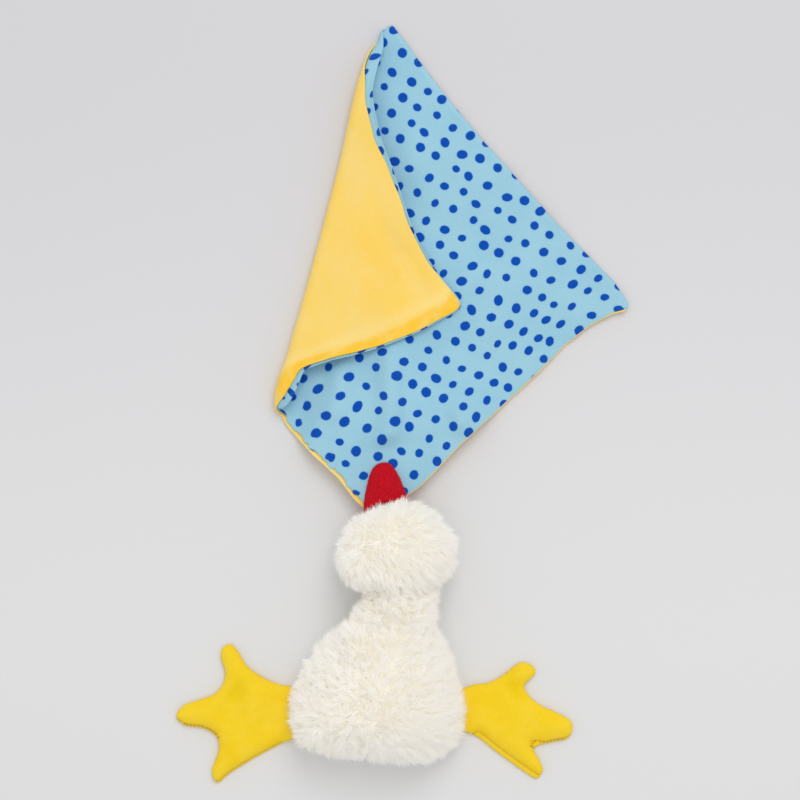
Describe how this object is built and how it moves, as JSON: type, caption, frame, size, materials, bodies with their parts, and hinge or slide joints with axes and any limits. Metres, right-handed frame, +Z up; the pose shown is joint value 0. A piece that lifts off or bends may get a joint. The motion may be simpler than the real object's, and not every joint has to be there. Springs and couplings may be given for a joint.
{
  "type": "comfort blanket lovey",
  "caption": "Plush duck lying on its belly with padded webbed feet, holding a two-layer square cloth by one corner in its felt beak, one corner folded over.",
  "frame": {"origin": "middle of the flat patch under the belly, on the surface it lies on", "axes": "+Y from the tail towards the cloth's far corner, the longest extent, +X to the duck's right, +Z up from the surface it lies on"},
  "size_m": [0.2678, 0.4506, 0.0565],
  "materials": {
    "plush": "off-white teddy plush with a short shaggy pile",
    "stuffing": "white polyester stuffing",
    "eye_thread": "black satin-stitched thread",
    "beak_felt": "red short-nap felt",
    "jersey": "light blue cotton jersey with dark blue dots",
    "cloth_velour": "soft warm yellow cotton velour",
    "foot_velour": "clear yellow short-nap velour"
  },
  "bodies": {
    "body": {"body_cover_left": "plush", "body_cover_right": "plush", "belly_panel": "plush", "body_filling": "stuffing"},
    "neck": {"neck_filling": "stuffing", "neck_cover": "plush"},
    "head": {"head_cover_left": "plush", "head_cover_right": "plush", "head_filling": "stuffing", "left_eye": "eye_thread", "right_eye": "eye_thread", "upper_beak": "beak_felt", "lower_beak": "beak_felt", "held_corner_jersey": "jersey", "held_corner_velour": "cloth_velour"},
    "cloth": {"cloth_jersey": "jersey", "cloth_velour": "cloth_velour", "fold_jersey": "jersey", "fold_velour": "cloth_velour"},
    "cloth_flap": {"flap_jersey": "jersey", "flap_velour": "cloth_velour"},
    "left_foot": {"left_foot_sole": "foot_velour", "left_foot_upper": "foot_velour", "left_foot_wadding": "stuffing", "left_foot_root": "foot_velour"},
    "right_foot": {"right_foot_sole": "foot_velour", "right_foot_upper": "foot_velour", "right_foot_wadding": "stuffing", "right_foot_root": "foot_velour"}
  },
  "joints": [
    {"name": "neck_turn", "type": "hinge", "parent": "body", "child": "neck", "pos_m": [0.0192, 0.0498, 0.02], "axis": [0, 0, 1], "range_deg": [-55, 22], "deforming": ["neck_cover"]},
    {"name": "head_nod", "type": "hinge", "parent": "neck", "child": "head", "pos_m": [0.0192, 0.0498, 0.02], "axis": [0.986, 0.1668, 0], "range_deg": [-35, 28], "deforming": ["neck_cover"]},
    {"name": "cloth_lift", "type": "hinge", "parent": "head", "child": "cloth", "pos_m": [0.00044, 0.14095, 0.01], "axis": [0.986, 0.1668, 0], "range_deg": [-70, 85]},
    {"name": "corner_unfold", "type": "hinge", "parent": "cloth", "child": "cloth_flap", "pos_m": [0.00282, 0.39584, 0.00525], "axis": [-0.2588, -0.9659, 0], "range_deg": [0, 180], "deforming": ["fold_jersey", "fold_velour"]},
    {"name": "left_foot_flap", "type": "hinge", "parent": "body", "child": "left_foot", "pos_m": [-0.05662, -0.0126, 0.0028], "axis": [0, 1, 0], "range_deg": [-70, 60]},
    {"name": "right_foot_flap", "type": "hinge", "parent": "body", "child": "right_foot", "pos_m": [0.0538, -0.0108, 0.0028], "axis": [0, -1, 0], "range_deg": [-70, 60]}
  ]
}
